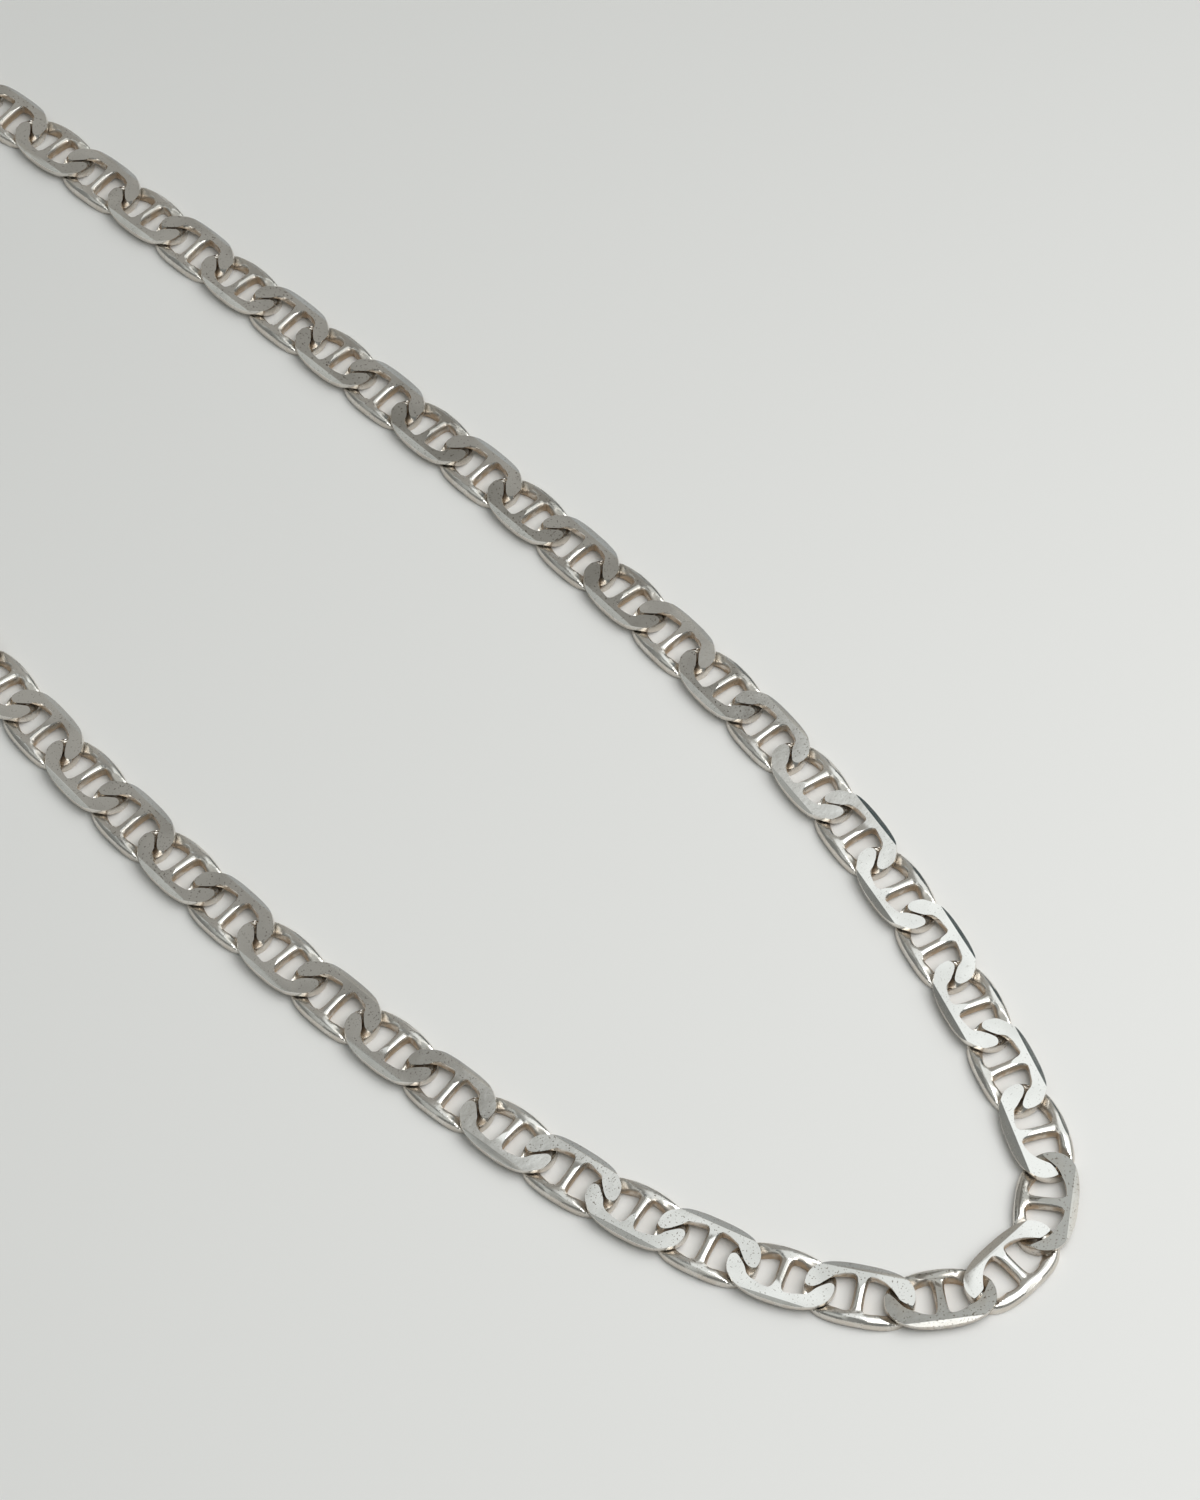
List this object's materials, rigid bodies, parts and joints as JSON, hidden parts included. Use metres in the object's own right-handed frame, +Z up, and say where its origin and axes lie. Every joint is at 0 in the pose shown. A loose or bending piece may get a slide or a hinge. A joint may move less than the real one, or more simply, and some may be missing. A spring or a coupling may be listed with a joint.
{
  "type": "flat mariner link neck chain",
  "caption": "Flat mariner link neck chain lying as a closed loop, each oval link with a bar across it, closed by a plain clasp and two small rings.",
  "frame": {"origin": "centre of the loop's box, on the surface that it lies on", "axes": "+Z up from the surface, +Y along the length of the loop towards the clasp, +X across it"},
  "size_m": [0.0556, 0.2364, 0.005],
  "materials": {
    "silver_links": "silver with ground, finely scratched faces, rounded polished wire and dark tarnish where links cross",
    "silver_clasp": "polished silver, lightly worn"
  },
  "bodies": {
    "root": {"chain_right": "silver_links", "chain_left": "silver_links", "clasp_ring": "silver_clasp", "end_ring": "silver_clasp", "clasp": "silver_clasp"}
  },
  "joints": []
}
